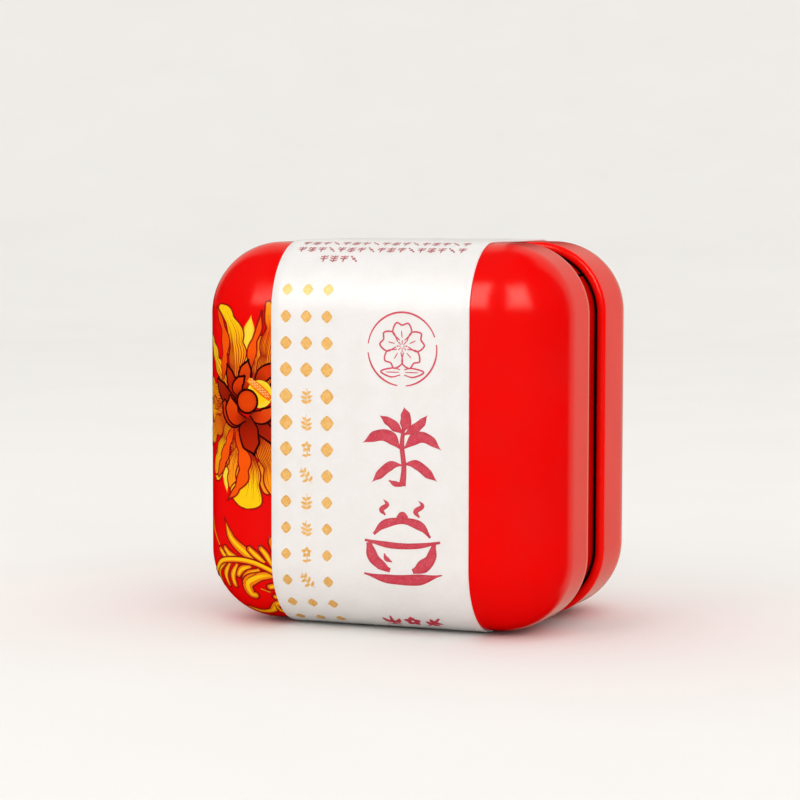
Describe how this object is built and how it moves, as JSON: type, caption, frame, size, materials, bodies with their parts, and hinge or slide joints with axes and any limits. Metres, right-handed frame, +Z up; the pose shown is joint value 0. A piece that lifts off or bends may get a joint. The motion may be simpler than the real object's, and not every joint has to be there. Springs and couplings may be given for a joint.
{
  "type": "lithographed tea tin",
  "caption": "Square pillow-edged tea tin with a pull-off lid, an inner neck collar and a loose card belly band.",
  "frame": {"origin": "below the middle of the closed, banded tin, on the surface that it stands on", "axes": "+Z up, -Y is the way the lid faces and pulls off, +X to the right of someone who faces the lid"},
  "size_m": [0.075, 0.0596, 0.076],
  "materials": {
    "red_litho_lid": "satin-gloss clear-coated litho print",
    "red_litho_body": "satin-gloss clear-coated litho print",
    "red_lacquer_collar": "satin lacquer",
    "pearl_card": "pearl with gold foil print",
    "dry_glue": "matte"
  },
  "bodies": {
    "body": {"body_shell": "red_litho_body", "neck_collar": "red_lacquer_collar"},
    "lid": {"lid_shell": "red_litho_lid"},
    "band": {"paper_band": "pearl_card", "band_glue": "dry_glue"}
  },
  "joints": [
    {"name": "lid_pull", "type": "slide", "parent": "body", "child": "lid", "axis": [0, -1, 0], "range_m": [0, 0.05], "deforming": ["paper_band"]},
    {"name": "band_slide", "type": "slide", "parent": "body", "child": "band", "axis": [-1, 0, 0], "range_m": [0, 0.065]}
  ]
}
